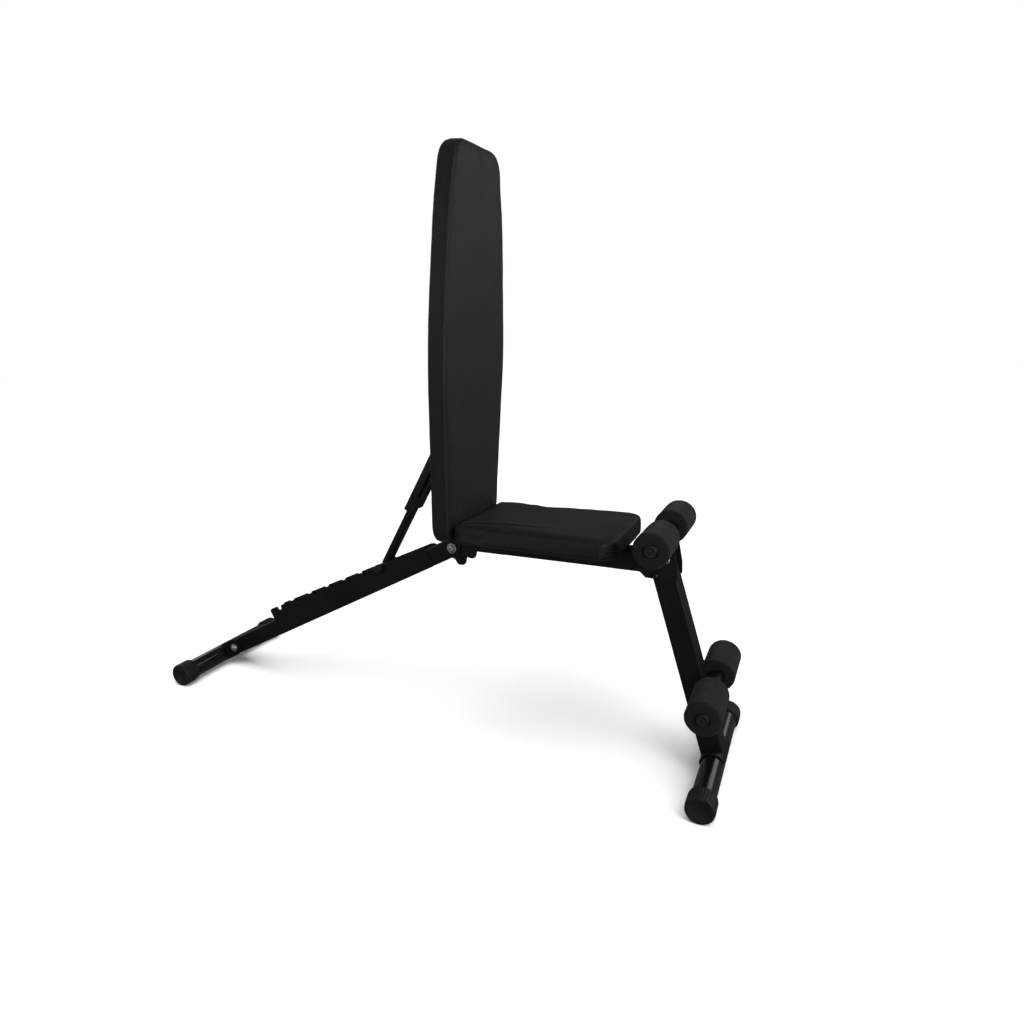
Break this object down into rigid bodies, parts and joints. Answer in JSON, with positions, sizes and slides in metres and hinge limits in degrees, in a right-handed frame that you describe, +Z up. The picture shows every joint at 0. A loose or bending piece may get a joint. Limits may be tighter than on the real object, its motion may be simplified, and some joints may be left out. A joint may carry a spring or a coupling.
{
  "type": "adjustable weight bench",
  "caption": "Folding adjustable weight bench: reclining backrest on a notched strut ladder, fixed seat, hinged legs and foam leg rollers.",
  "frame": {"origin": "on the floor, under the middle of the bench's length and width, standing unfolded with the backrest upright", "axes": "+Z up, +X from the rear foot towards the front foot, +Y to the left of a person who faces +X"},
  "size_m": [1.3366, 0.3738, 1.1928],
  "materials": {
    "coated_steel": "satin black powder coat",
    "zinc": "zinc plated",
    "black_plastic": "moulded",
    "foam": "matt closed-cell foam",
    "upholstery": "embossed synthetic leather",
    "plywood": "raw plywood"
  },
  "bodies": {
    "seat_frame": {"seat_rail": "coated_steel", "hinge_bracket_left": "coated_steel", "hinge_bracket_right": "coated_steel", "back_stop_left": "zinc", "back_stop_right": "zinc", "main_hinge_bolt": "zinc", "main_hinge_nut": "zinc", "seat_plate_rear": "coated_steel", "seat_plate_front": "coated_steel", "seat_board": "plywood", "seat_pad": "upholstery", "front_bracket_left": "coated_steel", "front_bracket_right": "coated_steel", "front_pivot_bolt": "coated_steel", "front_pivot_nut": "coated_steel", "lock_barrel": "zinc", "bracket_rivet": "zinc", "top_roller_tube": "coated_steel", "top_roller_plug_left": "black_plastic", "top_roller_plug_right": "black_plastic"},
    "backrest": {"back_pad": "upholstery", "back_board": "plywood", "back_tube": "coated_steel", "back_tube_plug": "black_plastic", "back_hinge_left": "coated_steel", "back_hinge_right": "coated_steel", "strut_bracket": "coated_steel", "strut_bolt": "coated_steel"},
    "strut": {"strut_tube": "coated_steel", "strut_foot_sleeve": "coated_steel", "strut_fork_left": "coated_steel", "strut_fork_right": "coated_steel", "strut_pin": "zinc", "strut_pin_cap_left": "black_plastic", "strut_pin_cap_right": "black_plastic"},
    "rear_leg": {"rear_beam": "coated_steel", "main_hinge_bush": "black_plastic", "leg_stop_bar": "zinc", "ladder_plate_left": "coated_steel", "ladder_plate_right": "coated_steel", "rear_foot_bracket": "coated_steel", "rear_foot_bolt": "zinc", "rear_foot_nut": "zinc", "rear_foot_tube": "coated_steel", "rear_foot_cap_left": "black_plastic", "rear_foot_cap_right": "black_plastic"},
    "front_leg": {"front_leg_tube": "coated_steel", "front_leg_top_plug": "black_plastic", "front_foot_saddle": "coated_steel", "front_foot_tube": "coated_steel", "front_foot_cap_left": "black_plastic", "front_foot_cap_right": "black_plastic", "low_roller_tube": "coated_steel", "low_roller_plug_left": "black_plastic", "low_roller_plug_right": "black_plastic"},
    "front_lock": {"lock_pin": "black_plastic"},
    "top_roller_left": {"top_foam_left": "foam"},
    "top_roller_right": {"top_foam_right": "foam"},
    "low_roller_left": {"low_foam_left": "foam"},
    "low_roller_right": {"low_foam_right": "foam"}
  },
  "joints": [
    {"name": "backrest_recline", "type": "hinge", "parent": "seat_frame", "child": "backrest", "pos_m": [0.0743, 0, 0.404], "axis": [0, 1, 0], "range_deg": [-87.48, 0]},
    {"name": "strut_swing", "type": "hinge", "parent": "backrest", "child": "strut", "pos_m": [0.05174, 0, 0.6302], "axis": [0, 1, 0], "range_deg": [0, 111.34]},
    {"name": "rear_leg_fold", "type": "hinge", "parent": "seat_frame", "child": "rear_leg", "pos_m": [0.0743, 0, 0.404], "axis": [0, 1, 0], "range_deg": [-105, 0]},
    {"name": "front_leg_fold", "type": "hinge", "parent": "seat_frame", "child": "front_leg", "pos_m": [0.5143, 0, 0.398], "axis": [0, 1, 0], "range_deg": [0, 93]},
    {"name": "front_lock_pull", "type": "slide", "parent": "seat_frame", "child": "front_lock", "axis": [0, 1, 0], "range_m": [0, 0.0201]},
    {"name": "top_roller_left_spin", "type": "hinge", "parent": "seat_frame", "child": "top_roller_left", "pos_m": [0.5267, 0, 0.4793], "axis": [0, 1, 0], "continuous": true},
    {"name": "top_roller_right_spin", "type": "hinge", "parent": "seat_frame", "child": "top_roller_right", "pos_m": [0.5267, 0, 0.4793], "axis": [0, 1, 0], "continuous": true},
    {"name": "low_roller_left_spin", "type": "hinge", "parent": "front_leg", "child": "low_roller_left", "pos_m": [0.63126, 0, 0.1816], "axis": [0, 1, 0], "continuous": true},
    {"name": "low_roller_right_spin", "type": "hinge", "parent": "front_leg", "child": "low_roller_right", "pos_m": [0.63126, 0, 0.1816], "axis": [0, 1, 0], "continuous": true}
  ],
  "couplings": [
    {"joint": "strut_swing", "follows": "backrest_recline", "ratio": -1.2726},
    {"joint": "front_lock_pull", "follows": "front_leg_fold", "m_per_rad": 0.012322}
  ]
}
